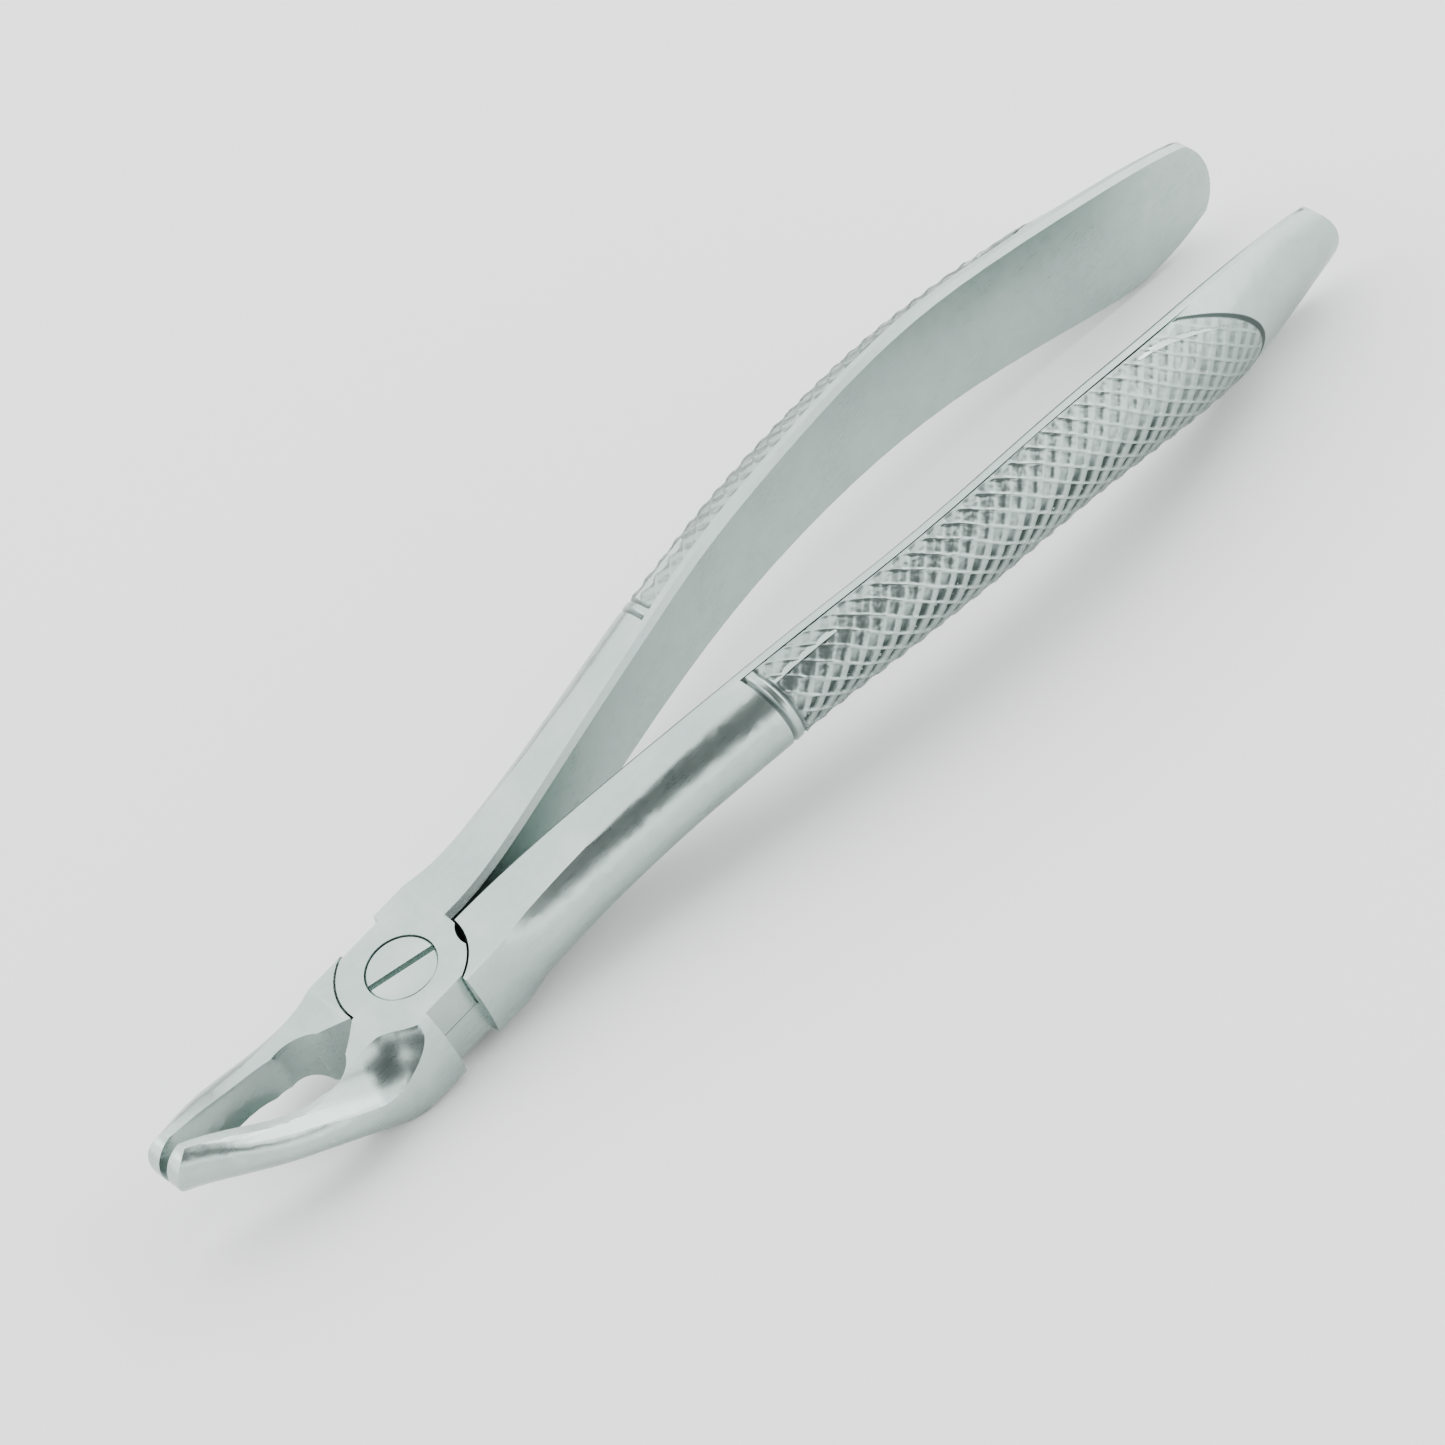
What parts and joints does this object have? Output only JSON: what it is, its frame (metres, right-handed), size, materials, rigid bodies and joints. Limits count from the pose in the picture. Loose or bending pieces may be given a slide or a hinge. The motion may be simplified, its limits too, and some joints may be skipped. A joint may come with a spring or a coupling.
{
  "type": "extraction forceps",
  "caption": "Dental extraction forceps of the English pattern: two crossing steel halves with knurled handles and hollowed beaks, joined by a slotted pivot screw.",
  "frame": {"origin": "on the pivot axis, in the plane of the rear joint face", "axes": "+X from the pivot towards the handle ends, +Z along the pivot axis towards the screw head, +Y towards the front half's handle"},
  "size_m": [0.1783, 0.036, 0.0298],
  "materials": {
    "satin_steel": "satin, fine hand brushing",
    "screw_steel": "satin, face ground with the joint"
  },
  "bodies": {
    "front": {"front_half": "satin_steel"},
    "rear": {"rear_half": "satin_steel", "pivot_screw": "screw_steel"}
  },
  "joints": [
    {"name": "pivot", "type": "hinge", "parent": "front", "child": "rear", "pos_m": [0, 0, 0], "axis": [0, 0, -1], "range_deg": [-1, 33]}
  ]
}
